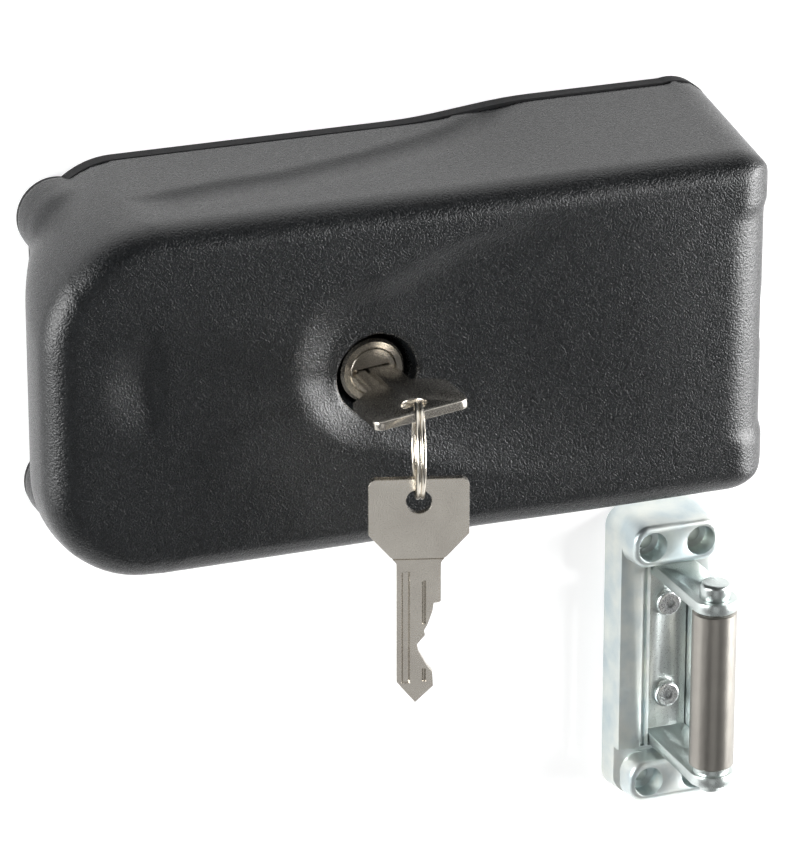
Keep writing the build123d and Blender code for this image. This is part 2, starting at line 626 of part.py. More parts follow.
def release_slide():
    """The flat slide that carries the key's turn to the catch, with a folded end."""
    near = -SLIDE_Y
    far = near + SLIDE_THICKNESS
    pin_x, pin_z = cam_pin_place()
    end = CATCH_X - 10
    body = slab(CYLINDER_X - 9, end, -near, -far, SLIDE_LOW, SLIDE_HIGH)
    wall_end = CATCH_Y - TAIL_ARM - 4.5
    high = CHEEK_HIGH - 2.2
    body += slab(end, end + SLIDE_THICKNESS, -near, wall_end, 0, high)
    body += slab(end, CATCH_X + 4, wall_end + 9, wall_end, high - SLIDE_THICKNESS, high)
    travel = CAM_THROW
    for x in stud_places():
        slot = SlotCenterToCenter(travel + 0.6, 2 * (STUD_RADIUS + 0.15))
        body -= extrude(at_depth(near - 1, x + travel / 2, slide_slot_z()) * slot, SLIDE_THICKNESS + 2)
    lift = CAM_THROW * (1 - math.cos(math.radians(CAM_TURN / 2)))
    width = 2 * (CAM_PIN_RADIUS + CAM_PIN_GAP)
    hole = Rectangle(width, width + 2 * lift + 0.4)
    body -= extrude(at_depth(near - 1, pin_x, pin_z - lift / 2) * hole, SLIDE_THICKNESS + 2)
    eye = SlotCenterToCenter(2.5, 2 * (LINK_PIN_RADIUS + LINK_PIN_GAP))
    place = Pos(CATCH_X, CATCH_Y - TAIL_ARM, high - SLIDE_THICKNESS - 1) * Rot(0, 0, 90)
    return body - place * extrude(eye, SLIDE_THICKNESS + 2)


def slide_guides():
    """Two headed studs that hold the slide flat on the base plate."""
    studs = []
    near = -SLIDE_Y
    for x in stud_places():
        stud = disc(STUD_RADIUS, x, slide_slot_z(), 0, near + SLIDE_THICKNESS + 0.3)
        stud += disc(STUD_HEAD, x, slide_slot_z(), PLATE_THICKNESS, near - 0.2)
        head = near + SLIDE_THICKNESS + 0.3
        stud += disc(STUD_HEAD, x, slide_slot_z(), head, head + 1.8)
        studs.append(stud)
    return studs


def cylinder_bracket():
    """The hat-shaped bracket that carries the key cylinder over the slide."""
    half = FLANGE_HALF + SHEET
    width = HEAD_RADIUS + 2.5
    top = CYLINDER_BACK_Y
    body = slab(CYLINDER_X - width, CYLINDER_X + width, top, top + SHEET, -half, half)
    for side in (1, -1):
        inner, outer = side * (half - SHEET), side * half
        body += slab(CYLINDER_X - width, CYLINDER_X + width, top, -PLATE_THICKNESS, inner, outer)
        foot = side * (half + 11)
        body += slab(CYLINDER_X - width, CYLINDER_X + width, -PLATE_THICKNESS - SHEET, -PLATE_THICKNESS, inner, foot)
    body -= disc(PLUG_RADIUS + 0.5, CYLINDER_X, 0, -top - SHEET - 1, -top + 1)
    for x, z in screw_places()[6:]:
        body -= disc(SCREW_RADIUS + RUNNING, x, z, 0, PLATE_THICKNESS + SHEET + 1)
    for side in (1, -1):
        body -= disc(SCREW_RADIUS + RUNNING, CYLINDER_X, side * flange_screw_z(), -top - SHEET - 1, -top + 1)
    return body


def flange_screw_z():
    """The distance of the cylinder's screws from its axis."""
    return (HEAD_RADIUS + FLANGE_HALF) / 2 + 0.4


def cylinder_body():
    """The key cylinder's round housing with its rear flange."""
    top = -CYLINDER_BACK_Y
    body = disc(HEAD_RADIUS, CYLINDER_X, 0, top, -FACE_Y)
    body = chamfer(body.edges().filter_by(GeomType.CIRCLE).sort_by(Axis.Y)[0], 0.7)
    flange = extrude(at_depth(top, CYLINDER_X, 0) * Rot(0, 0, 90) * SlotOverall(2 * FLANGE_HALF, 2 * HEAD_RADIUS), FLANGE_THICKNESS)
    body += flange
    for side in (1, -1):
        body -= disc(SCREW_RADIUS + RUNNING, CYLINDER_X, side * flange_screw_z(), top - 1, top + FLANGE_THICKNESS + 1)
    return body - disc(PLUG_RADIUS + RUNNING, CYLINDER_X, 0, top - 1, -FACE_Y + 1)


def cylinder_screws():
    """Two screws that hold the cylinder's flange to its bracket."""
    seat = -CYLINDER_BACK_Y + FLANGE_THICKNESS
    length = FLANGE_THICKNESS + SHEET
    return [screw_into_wall(CYLINDER_X, side * flange_screw_z(), seat, length) for side in (1, -1)]


def tilted(solid):
    """Turns a body about the cylinder's axis to the key's rest angle."""
    return solid.rotate(Axis((CYLINDER_X, 0, 0), (0, 1, 0)), -KEY_TILT)


def cylinder_plug():
    """The plug that turns with the key, with its keyway."""
    body = disc(PLUG_RADIUS, CYLINDER_X, 0, -PLUG_BACK_Y, -FACE_Y)
    body = chamfer(body.edges().filter_by(GeomType.CIRCLE).sort_by(Axis.Y)[0], 0.4)
    half = BLADE_WIDTH / 2 + KEYWAY_GAP
    thin = KEY_THICKNESS / 2 + KEYWAY_GAP
    end = FACE_Y + BLADE_INSERTED + 1
    keyway = slab(CYLINDER_X - half, CYLINDER_X + half, FACE_Y - 1, end, -thin, thin)
    return body - tilted(keyway)


def cam():
    """The cam behind the plug, whose pin moves the release slide."""
    near = -PLUG_BACK_Y - CAM_THICKNESS
    body = disc(CAM_RADIUS, CYLINDER_X, 0, near, near + CAM_THICKNESS)
    x, z = cam_pin_place()
    return body + disc(CAM_PIN_RADIUS, x, z, -SLIDE_Y - 0.3, near + 0.5)


def key_profile():
    """The key's flat outline, with V running from the bow's end to the tip."""
    half = BOW_WIDTH / 2
    neck = NECK_WIDTH / 2
    blade = BLADE_WIDTH / 2
    stop = BOW_LENGTH + NECK_LENGTH
    cut_depths = (1.6, 2.6, 1.2, 3.6, 2.2)
    pitch = 4.1
    first = stop + 5.2
    points = [(-half, 0), (half, 0), (half, BOW_STRAIGHT), (neck + 1.1, BOW_LENGTH), (neck, BOW_LENGTH)]
    points += [(neck, stop), (blade, stop), (blade, stop + 2.0)]
    for i, depth in enumerate(cut_depths):
        middle = first + pitch * i
        slope = min(depth, pitch / 2 - 0.5) * 0.95
        points += [(blade - 0.4, middle - 0.45 - slope), (blade - depth, middle - 0.45), (blade - depth, middle + 0.45)]
    points += [(blade - 1.0, KEY_LENGTH - 4.2), (-1.0, KEY_LENGTH), (-blade, KEY_LENGTH - 4.2), (-blade, stop)]
    points += [(-neck, stop), (-neck, BOW_LENGTH), (-neck - 1.1, BOW_LENGTH), (-half, BOW_STRAIGHT)]
    return Face(Wire.make_polygon(points, close=True))


def flat_key():
    """A key lying flat: width along X, length along Y from the bow's end, thickness along Z."""
    body = Pos(0, 0, -KEY_THICKNESS / 2) * extrude(key_profile(), KEY_THICKNESS)
    corners = body.edges().filter_by(Axis.Z).group_by(Axis.Y)[0]
    body = fillet(corners, BOW_ROUND)
    body -= Pos(0, BOW_HOLE_INSET, 0) * Cylinder(BOW_HOLE_RADIUS, 2 * KEY_THICKNESS)
    for side in (1, -1):
        start = BOW_LENGTH + 1.0
        groove = slab(-2.4, -1.4, start, KEY_LENGTH - 3, side * (KEY_THICKNESS / 2 - 0.5), side * KEY_THICKNESS)
        body -= groove
    return body


def bow_end_y():
    """The inserted key's free end."""
    return FACE_Y + BLADE_INSERTED - KEY_LENGTH


def key():
    """The key in the plug, its bow nearly level."""
    return tilted(Pos(CYLINDER_X, bow_end_y(), 0) * flat_key())


def bar_place():
    """The middle of the narrow bar between the bow's hole and its end."""
    return bow_end_y() + (BOW_HOLE_INSET - BOW_HOLE_RADIUS) / 2


def ring_centre():
    """The split ring's centre: it hangs over the bar of the inserted key's bow."""
    turn = math.radians(RING_TURN)
    shift = 1.5
    drop = RING_RADIUS - RING_WIRE - KEY_THICKNESS / 2 - 0.75
    x = CYLINDER_X - shift * math.sin(turn) - 0.8
    y = bar_place() - shift * math.cos(turn)
    return x, y, -drop


def key_ring():
    """The split ring: two turns of round wire side by side."""
    x, y, z = ring_centre()
    turn = Torus(RING_RADIUS, RING_WIRE)
    pair = Pos(0, 0, RING_WIRE * 0.92) * turn + Pos(0, 0, -RING_WIRE * 0.92) * turn
    return Pos(x, y, z) * Rot(0, 0, -RING_TURN) * Rot(0, 90, 0) * pair


def spare_key():
    """The spare key that hangs from the ring."""
    x, y, z = ring_centre()
    wire_in_hole = BOW_HOLE_RADIUS - RING_WIRE - 1.0
    hole_z = z - RING_RADIUS - wire_in_hole
    hung = Rot(0, 0, -RING_TURN) * Rot(90, 0, 0) * Rot(0, 0, 180) * Pos(0, -BOW_HOLE_INSET, 0) * flat_key()
    return Pos(x, y, hole_z) * hung


def terminal_block():
    """The moulded two-pole terminal for the coil's supply."""
    body = slab(TERMINAL_X - 11, TERMINAL_X + 11, -PLATE_THICKNESS, -15, TERMINAL_Z - 6, TERMINAL_Z + 6)
    body = fillet(body.edges().filter_by(Axis.Y), 1.2)
    for side in (1, -1):
        x = TERMINAL_X + side * 5.5
        body -= disc(2.4, x, TERMINAL_Z, 9, 16)
        body -= Pos(x, -7.5, TERMINAL_Z) * Cylinder(1.4, 14)
    return body


def terminal_screws():
    """The two clamping screws of the terminal."""
    screws = []
    for side in (1, -1):
        x = TERMINAL_X + side * 5.5
        screw = disc(2.3, x, TERMINAL_Z, 9, 12)
        screws.append(screw - slab(x - 3, x + 3, -11.2, -13, TERMINAL_Z - 0.4, TERMINAL_Z + 0.4))
    return screws


def cable_grommet():
    """The rubber grommet where the supply cable enters through the base plate."""
    outer = CABLE_RADIUS + GROMMET_WALL
    body = disc(outer, CABLE_X, CABLE_Z, 0, PLATE_THICKNESS)
    body += disc(outer + 1.5, CABLE_X, CABLE_Z, PLATE_THICKNESS, PLATE_THICKNESS + 2.5)
    return body - disc(CABLE_RADIUS, CABLE_X, CABLE_Z, -1, PLATE_THICKNESS + 4)


def on_strike(solid):
    """Moves a body drawn about the strike's own centre to the strike's place."""
    return Pos(STRIKE_X, 0, STRIKE_Z) * solid


def arm_inner():
    """Half the clear height between the bracket's arms."""
    return STRIKE_HEIGHT / 2 - STRIKE_CAP - ARM_GAP - ARM_THICKNESS


def strike_hole_places():
    """The centres of the strike's four fixing holes about its own centre."""
    high = STRIKE_HEIGHT / 2 - STRIKE_HOLE_INSET
    return [(i * STRIKE_HOLE_SPACING / 2, j * high) for i in (-1, 1) for j in (-1, 1)]


def strike_base():
    """The cast strike base: two capped ends and a faceted channel between them."""
    half = STRIKE_WIDTH / 2
    plan = RectangleRounded(STRIKE_WIDTH, STRIKE_HEIGHT, STRIKE_ROUND)
    floor = extrude(at_depth(0) * plan, STRIKE_BODY_DEPTH, taper=6)
    body = floor
    middle = (STRIKE_HEIGHT - STRIKE_CAP) / 2
    for side in (1, -1):
        cap = at_depth(0, 0, side * middle) * RectangleRounded(STRIKE_WIDTH, STRIKE_CAP, STRIKE_ROUND)
        solid = extrude(cap, STRIKE_CAP_DEPTH, taper=6)
        body += fillet(solid.faces().sort_by(Axis.Y)[0].edges(), 1.5)
    inner = STRIKE_HEIGHT / 2 - STRIKE_CAP
    facet = Wire.make_polygon([(-half - 2, -5), (-half + 7.5, -STRIKE_BODY_DEPTH - 1), (-half - 2, -STRIKE_BODY_DEPTH - 1)], close=True)
    body -= Pos(0, 0, -inner) * extrude(Face(facet), 2 * inner)
    body -= slab(-half + 7.5, -half + 8.7, -STRIKE_BODY_DEPTH + 1.2, -STRIKE_BODY_DEPTH - 1, -inner, inner)
    channel = ARM_WIDTH / 2 + ARM_GAP
    body -= slab(-channel + 2, channel + 2, -2.5, -STRIKE_CAP_DEPTH - 1, -inner, inner)
    for x, z in strike_hole_places():
        body -= disc(STRIKE_HOLE_RADIUS, x, z, -1, STRIKE_CAP_DEPTH + 1)
        body -= disc(STRIKE_HOLE_RADIUS + 1.9, x, z, STRIKE_CAP_DEPTH - 6, STRIKE_CAP_DEPTH + 1)
    for side in (1, -1):
        body -= disc(SCREW_RADIUS + RUNNING, 2, side * inner / 2, -1, 4)
    return on_strike(body)


def strike_bracket():
    """The folded bracket: a web in the base's channel and two arms that carry the roller."""
    inner = arm_inner()
    high = inner + ARM_THICKNESS
    web = -2.7 - ARM_THICKNESS
    width = ARM_WIDTH / 2
    body = slab(2 - width, 2 + width, -2.7 - 0.0, web, -high, high)
    for low in (-high, inner):
        arm = slab(2 - width, 2 + width, -2.7, -ROLLER_OUT, low, low + ARM_THICKNESS)
        arm += upright(width, 2, -ROLLER_OUT, low, low + ARM_THICKNESS)
        body += arm
    body -= upright(AXLE_RADIUS + RUNNING, 2, -ROLLER_OUT, -high - 1, high + 1)
    for side in (1, -1):
        body -= disc(SCREW_RADIUS + 0.2, 2, side * (STRIKE_HEIGHT / 2 - STRIKE_CAP) / 2, 1, 8)
    return on_strike(body)


def strike_roller():
    """The steel roller that the hook closes round."""
    low = -arm_inner() + WASHER_THICKNESS + ROLLER_END_GAP / 2
    high = arm_inner() - ROLLER_END_GAP
    body = upright(ROLLER_RADIUS, 2, -ROLLER_OUT, low, high)
    body = chamfer(body.edges().filter_by(GeomType.CIRCLE), 0.5)
    return on_strike(body - upright(AXLE_RADIUS + RUNNING, 2, -ROLLER_OUT, low - 1, high + 1))


def strike_washer():
    """The collar washer under the roller."""
    low = -arm_inner()
    body = upright(ROLLER_RADIUS - 1, 2, -ROLLER_OUT, low, low + WASHER_THICKNESS)
    return on_strike(body - upright(AXLE_RADIUS + RUNNING, 2, -ROLLER_OUT, low - 1, low + WASHER_THICKNESS + 1))


def strike_axle():
    """The roller's axle: a domed head above the upper arm and a riveted end below."""
    high = arm_inner() + ARM_THICKNESS
    body = upright(AXLE_RADIUS, 2, -ROLLER_OUT, -high - 2.5, high)
    head = upright(AXLE_HEAD, 2, -ROLLER_OUT, high, high + 4.5)
    head = fillet(head.edges().filter_by(GeomType.CIRCLE).sort_by(Axis.Z)[-1], 1.2)
    return on_strike(body + head)


def strike_adjust_screws():
    """Two screws that set how far the bracket stands out of the base."""
    places = [(2, side * (STRIKE_HEIGHT / 2 - STRIKE_CAP) / 2) for side in (1, -1)]
    seat = 2.7 + ARM_THICKNESS
    return [on_strike(screw_into_wall(x, z, seat, seat)) for x, z in places]


PARTS = {
    "base_plate": base_plate,
    "cover_tabs": cover_tabs,
    "cover_gasket": cover_gasket,
    "cover": cover,
    "cover_screws": cover_screws,
    "frame_screws": frame_screws,
    "bolt_bracket": bolt_bracket,
    "hook_bolt": hook_bolt,
    "bolt_pin": bolt_pin,
    "bolt_pin_clip": pin_clips,
    "bolt_spring": bolt_spring,
    "catch_lever": catch_lever,
    "catch_pin": catch_pin,
    "catch_pin_clip": catch_clip,
    "catch_spring": catch_spring,
    "coil_bobbin": coil_bobbin,
    "coil_winding": coil_winding,
    "coil_yoke": coil_yoke,
    "plunger": plunger,
    "plunger_spring": plunger_spring,
    "pull_link": pull_link,
    "release_slide": release_slide,
    "slide_guides": slide_guides,
    "cylinder_bracket": cylinder_bracket,
    "cylinder_body": cylinder_body,
    "cylinder_screws": cylinder_screws,
    "cylinder_plug": cylinder_plug,
    "plug_cam": cam,
    "key": key,
    "key_ring": key_ring,
    "spare_key": spare_key,
    "terminal_block": terminal_block,
    "terminal_screws": terminal_screws,
    "cable_grommet": cable_grommet,
    "strike_base": strike_base,
    "strike_bracket": strike_bracket,
    "strike_roller": strike_roller,
    "strike_washer": strike_washer,
    "strike_axle": strike_axle,
    "strike_adjust_screws": strike_adjust_screws,
}

os.makedirs("parts", exist_ok=True)
for name, make in PARTS.items():
    shape = make()
    if isinstance(shape, list):
        shape = Compound(children=shape)
    export_step(shape, "parts/" + name + ".step")
    print(name, "written")
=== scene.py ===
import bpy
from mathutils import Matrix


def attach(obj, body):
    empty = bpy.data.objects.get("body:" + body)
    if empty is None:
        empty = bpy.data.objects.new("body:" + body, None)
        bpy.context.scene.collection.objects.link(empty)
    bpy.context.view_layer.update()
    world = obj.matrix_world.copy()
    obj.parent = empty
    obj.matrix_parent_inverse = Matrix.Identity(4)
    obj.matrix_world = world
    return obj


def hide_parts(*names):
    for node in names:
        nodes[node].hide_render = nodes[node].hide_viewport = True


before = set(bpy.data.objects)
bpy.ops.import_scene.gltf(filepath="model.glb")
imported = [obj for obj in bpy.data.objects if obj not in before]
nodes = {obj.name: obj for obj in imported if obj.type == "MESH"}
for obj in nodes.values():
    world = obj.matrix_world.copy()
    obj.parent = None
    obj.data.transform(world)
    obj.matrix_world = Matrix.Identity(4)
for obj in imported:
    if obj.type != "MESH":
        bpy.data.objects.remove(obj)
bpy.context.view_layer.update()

import math

import bmesh
import bpy
from mathutils import Matrix, Vector

# The white wall that the lock hangs on, and a pale floor below it.
# Both are painted board; the wall lets the camera look through it from behind.


def board_paint(name, shade, glow):
    """Matt white paint that shows clean white to the camera and to metal, and keeps soft shadows."""
    mat = bpy.data.materials.new(name)
    mat.use_nodes = True
    tree = mat.node_tree
    tree.nodes.clear()
    out = tree.nodes.new("ShaderNodeOutputMaterial")
    plain = tree.nodes.new("ShaderNodeBsdfDiffuse")
    plain.inputs["Color"].default_value = (shade, shade, shade, 1)
    shine = tree.nodes.new("ShaderNodeEmission")
    shine.inputs["Strength"].default_value = glow
    both = tree.nodes.new("ShaderNodeAddShader")
    tree.links.new(plain.outputs[0], both.inputs[0])
    tree.links.new(shine.outputs[0], both.inputs[1])
    light_path = tree.nodes.new("ShaderNodeLightPath")
    seen = light_path.outputs["Is Camera Ray"]
    for ray in ("Is Glossy Ray", "Is Transmission Ray"):
        either = tree.nodes.new("ShaderNodeMath")
        either.operation = "MAXIMUM"
        tree.links.new(seen, either.inputs[0])
        tree.links.new(light_path.outputs[ray], either.inputs[1])
        seen = either.outputs[0]
    front = tree.nodes.new("ShaderNodeMixShader")
    tree.links.new(seen, front.inputs[0])
    tree.links.new(plain.outputs[0], front.inputs[1])
    tree.links.new(both.outputs[0], front.inputs[2])
    clear = tree.nodes.new("ShaderNodeBsdfTransparent")
    side = tree.nodes.new("ShaderNodeNewGeometry")
    sides = tree.nodes.new("ShaderNodeMixShader")
    tree.links.new(side.outputs["Backfacing"], sides.inputs[0])
    tree.links.new(front.outputs[0], sides.inputs[1])
    tree.links.new(clear.outputs[0], sides.inputs[2])
    tree.links.new(sides.outputs[0], out.inputs["Surface"])
    return mat


def board(name, corners, paint):
    """One flat board between four corners, facing the room."""
    mesh = bpy.data.meshes.new(name)
    bm = bmesh.new()
    bm.faces.new([bm.verts.new(corner) for corner in corners])
    bm.to_mesh(mesh)
    bm.free()
    piece = bpy.data.objects.new(name, mesh)
    bpy.context.scene.collection.objects.link(piece)
    mesh.materials.append(paint)


wall_y = 0.0006
wall_half, floor_z, floor_front = 1.6, -0.9, -0.5
wall_paint = board_paint("wall_paint", 0.5, 0.66)
board("wall", [(-wall_half, wall_y, floor_z), (wall_half, wall_y, floor_z),
               (wall_half, wall_y, wall_half), (-wall_half, wall_y, wall_half)], wall_paint)
floor_paint = board_paint("floor_paint", 0.6, 0.4)
board("floor", [(-wall_half, floor_front, floor_z), (wall_half, floor_front, floor_z),
                (wall_half, wall_y, floor_z), (-wall_half, wall_y, floor_z)], floor_paint)

# Soft studio light: a strong box far to the right, weak ones at the right front, above, left and low down.
# The room is dim on the upper left and lighter on the lower right, which the lock's face mirrors.


def soft_box(name, place, aim, size, power):
    """A square studio light at a place, turned to a point on the lock."""
    lamp = bpy.data.lights.new(name, "AREA")
    lamp.size = size
    lamp.energy = power
    holder = bpy.data.objects.new(name, lamp)
    holder.location = place
    holder.rotation_euler = (Vector(aim) - Vector(place)).to_track_quat("-Z", "Y").to_euler()
    bpy.context.scene.collection.objects.link(holder)


soft_box("side_box", (1.22, -0.46, -0.04), (0.08, -0.04, 0.0), 0.85, 38)
soft_box("right_box", (0.95, -1.00, 0.22), (0.0, -0.04, 0.0), 0.07, 4.5)
soft_box("top_box", (0.1, -0.10, 1.2), (0.0, -0.03, 0.0), 0.6, 1)
soft_box("left_box", (-0.7, -0.22, 0.1), (-0.2, 0.0, 0.0), 0.5, 9)
soft_box("low_box", (-0.31, -1.18, -0.44), (-0.02, -0.05, 0.0), 0.7, 0.7)

room = bpy.data.worlds.new("room")
bpy.context.scene.world = room
room.use_nodes = True
tree = room.node_tree
tree.nodes.clear()
out = tree.nodes.new("ShaderNodeOutputWorld")
air = tree.nodes.new("ShaderNodeBackground")
white = tree.nodes.new("ShaderNodeBackground")
white.inputs["Strength"].default_value = 1.0
pick = tree.nodes.new("ShaderNodeMixShader")
light_path = tree.nodes.new("ShaderNodeLightPath")
coords = tree.nodes.new("ShaderNodeTexCoord")
lean = tree.nodes.new("ShaderNodeVectorMath")
lean.operation = "DOT_PRODUCT"
lean.inputs[1].default_value = (0.75, -0.2, -0.6)
height = tree.nodes.new("ShaderNodeMapRange")
height.inputs["From Min"].default_value = -0.35
height.inputs["From Max"].default_value = 0.45
height.inputs["To Min"].default_value = 0.04
height.inputs["To Max"].default_value = 0.2
tree.links.new(coords.outputs["Generated"], lean.inputs[0])
tree.links.new(lean.outputs["Value"], height.inputs["Value"])
tree.links.new(height.outputs[0], air.inputs["Strength"])
tree.links.new(light_path.outputs["Is Camera Ray"], pick.inputs[0])
tree.links.new(air.outputs[0], pick.inputs[1])
tree.links.new(white.outputs[0], pick.inputs[2])
tree.links.new(pick.outputs[0], out.inputs["Surface"])

scene = bpy.context.scene
scene.view_settings.view_transform = "Standard"

# The camera: a long lens 1.3 m away, left of the lock and above it.
# It looks past the lock's middle, so that the keys and the strike come into the frame.
turn, lift, distance = math.radians(-21.3), math.radians(19.75), 1.3
frame_high, long_focus = 850, 5005
middle_right, middle_down = 30, 120
back = Vector((math.sin(turn) * math.cos(lift), -math.cos(turn) * math.cos(lift), math.sin(lift)))
right = Vector((math.cos(turn), math.sin(turn), 0))
up = back.cross(right)
look = -back * long_focus + right * middle_right - up * middle_down
lens = bpy.data.cameras.new("camera")
camera = bpy.data.objects.new("camera", lens)
scene.collection.objects.link(camera)
lens.sensor_width = 36
lens.lens = long_focus / frame_high * lens.sensor_width
lens.clip_start, lens.clip_end = 0.05, 20
camera.location = back * distance
camera.rotation_mode = "QUATERNION"
camera.rotation_quaternion = look.to_track_quat("-Z", "Y")
scene.camera = camera

# The base plate and its two welded tabs: 3 mm and 2.5 mm sheet steel, punched, bent and zinc plated.
# The plate lies on the wall inside the gasket and carries every inner bracket.


def new_material(name):
    """An empty Principled material with its tree, shader and Object coordinates."""
    mat = bpy.data.materials.new(name)
    mat.use_nodes = True
    tree = mat.node_tree
    shader = tree.nodes["Principled BSDF"]
    coords = tree.nodes.new("ShaderNodeTexCoord")
    return mat, tree, shader, coords.outputs["Object"]


def noise(tree, place, scale, detail=3.0, stretch=None):
    """A noise pattern in Object coordinates, stretched along an axis if asked."""
    if stretch:
        mapping = tree.nodes.new("ShaderNodeMapping")
        mapping.inputs["Scale"].default_value = stretch
        tree.links.new(place, mapping.inputs["Vector"])
        place = mapping.outputs["Vector"]
    pattern = tree.nodes.new("ShaderNodeTexNoise")
    pattern.inputs["Scale"].default_value = scale
    pattern.inputs["Detail"].default_value = detail
    tree.links.new(place, pattern.inputs["Vector"])
    return pattern.outputs["Fac"]


def spread(tree, value, low, high, near=0.3, far=0.7):
    """Spreads a pattern's middle range over two numbers."""
    node = tree.nodes.new("ShaderNodeMapRange")
    node.inputs["From Min"].default_value = near
    node.inputs["From Max"].default_value = far
    node.inputs["To Min"].default_value = low
    node.inputs["To Max"].default_value = high
    tree.links.new(value, node.inputs["Value"])
    return node.outputs[0]


def two_tones(tree, value, dark, light, near=0.3, far=0.7):
    """Runs a pattern from one colour to another."""
    ramp = tree.nodes.new("ShaderNodeValToRGB")
    ramp.color_ramp.elements[0].position = near
    ramp.color_ramp.elements[1].position = far
    ramp.color_ramp.elements[0].color = (*dark, 1)
    ramp.color_ramp.elements[1].color = (*light, 1)
    tree.links.new(value, ramp.inputs["Fac"])
    return ramp.outputs["Color"]


def relief(tree, value, strength, depth):
    """Raises a pattern as bump, its depth in metres."""
    bump = tree.nodes.new("ShaderNodeBump")
    bump.inputs["Strength"].default_value = strength
    bump.inputs["Distance"].default_value = depth
    tree.links.new(value, bump.inputs["Height"])
    return bump.outputs["Normal"]


def metal(name, dark, light, rough, cloud=60, grain=2500, stretch=None, bump=0.15, depth=0.00005):
    """A bare or plated metal: clouded colour, uneven gloss and a fine grain."""
    mat, tree, shader, place = new_material(name)
    clouds = noise(tree, place, cloud)
    fine = noise(tree, place, grain, 2.0, stretch)
    tree.links.new(two_tones(tree, clouds, dark, light), shader.inputs["Base Color"])
    tree.links.new(spread(tree, fine, rough[0], rough[1]), shader.inputs["Roughness"])
    tree.links.new(relief(tree, fine, bump, depth), shader.inputs["Normal"])
    shader.inputs["Metallic"].default_value = 1.0
    return mat


def dress(material, *names):
    """Gives CAD nodes their real finish."""
    for name in names:
        piece = nodes[name]
        piece.data.materials.clear()
        piece.data.materials.append(material)


zinc_sheet = metal("zinc_sheet", (0.50, 0.53, 0.55), (0.66, 0.69, 0.70), (0.28, 0.46))
dress(zinc_sheet, "base_plate", "cover_tabs")

# The gasket: a black EPDM band, 4 mm thick and die cut, pressed between the case's rim and the wall.
# It follows the rim's wavy outline and its corner lugs.
gasket_rubber, tree, shader, place = new_material("gasket_rubber")
skin = noise(tree, place, 1800, 3.0)
tree.links.new(two_tones(tree, noise(tree, place, 90), (0.012, 0.012, 0.013), (0.021, 0.021, 0.022)),
               shader.inputs["Base Color"])
tree.links.new(spread(tree, skin, 0.62, 0.8), shader.inputs["Roughness"])
tree.links.new(relief(tree, skin, 0.4, 0.0001), shader.inputs["Normal"])
shader.inputs["Specular IOR Level"].default_value = 0.2
dress(gasket_rubber, "cover_gasket", "cable_grommet")

# The case: one die casting with soft sculpted faces, in a fine-textured charcoal powder coat.
# It drops over the base plate, its two round lugs bear on the wall, and two screws from below hold it.


def merged_copy(node, name):
    """A new piece with the CAD node's surface, its loose triangles joined."""
    mesh = nodes[node].data.copy()
    mesh.name = name
    mesh.attributes.remove(mesh.attributes["custom_normal"])
    piece = bpy.data.objects.new(name, mesh)
    bpy.context.scene.collection.objects.link(piece)
    bm = bmesh.new()
    bm.from_mesh(mesh)
    bmesh.ops.remove_doubles(bm, verts=bm.verts, dist=0.000002)
    bm.to_mesh(mesh)
    bm.free()
    mesh.materials.clear()
    return piece


def bake_modifiers(piece):
    """Replaces a piece's mesh by its finished one, with no modifiers left."""
    seen = piece.evaluated_get(bpy.context.evaluated_depsgraph_get())
    mesh = bpy.data.meshes.new_from_object(seen)
    mesh.name = piece.name
    piece.modifiers.clear()
    piece.data = mesh


def soft_step(value, start, end):
    """0 before start, 1 after end, with a soft passage between."""
    share = min(1.0, max(0.0, (value - start) / (end - start)))
    return share * share * (3 - 2 * share)


def along(points, x):
    """The height of a drawn line at x, with straight runs between its points."""
    if x <= points[0][0]:
        return points[0][1]
    for (x0, z0), (x1, z1) in zip(points, points[1:]):
        if x <= x1:
            return z0 + (z1 - z0) * (x - x0) / (x1 - x0)
    return points[-1][1]


# The sculpted forms' places and sizes are in millimetres, the lugs' in metres.
front_y = -52.0
face_left, face_right, face_half, recess_radius = -92.0, 77.0, 41.0, 10.9
face_skin, face_slope, side_half = 0.4, 1.4, 36.0
key_x, dish_z, dish_radius, dish_depth, dish_edge = -17.0, 4.8, 24.0, 3.0, 12.0
tail_edge, tail_widens, tail_fades, tail_end, crease_full = 26.0, 14.0, -10.0, 68.0, 8.0
upper_crease = [(-17, 28.8), (-6, 31.6), (6, 34.6), (25, 38), (53, 40), (70, 41)]
lower_crease = [(-17, -19.2), (-6, -23.4), (5, -27), (20, -30.9), (36, -33.5), (70, -36)]
side_fold = [(-69, -31), (-51, -28), (-34, -27), (-13, -22), (10, -15), (19, -12), (45, 3)]
fold_depth, fold_front, fold_back = 1.1, 11.0, 3.2
fold_start, fold_full, fold_fades, fold_end = -78, -62, 26, 46
dent_x, dent_z, dent_half, dent_left, dent_right, dent_depth = -78.0, 7.0, 16.0, 14.0, 3.6, 1.4
turn_x, turn_y, outer_turn, inner_turn = 78.0, -37.0, 15.0, 12.0
column_start, column_full, column_proud = 29.5, 32.0, 0.8
lug_x, lug_y, lug_z, lug_radius, lug_depth, lug_dome = -0.085, -0.0087, 0.0355, 0.0103, 0.0168, 0.004


def edge_step(value, end, crisp):
    """0 at nothing and 1 at the end: soft at both ends, or steep at first where it is crisp."""
    share = min(1.0, max(0.0, value / end))
    return (1 - crisp) * soft_step(share, 0, 1) + crisp * (1 - (1 - share) ** 2)


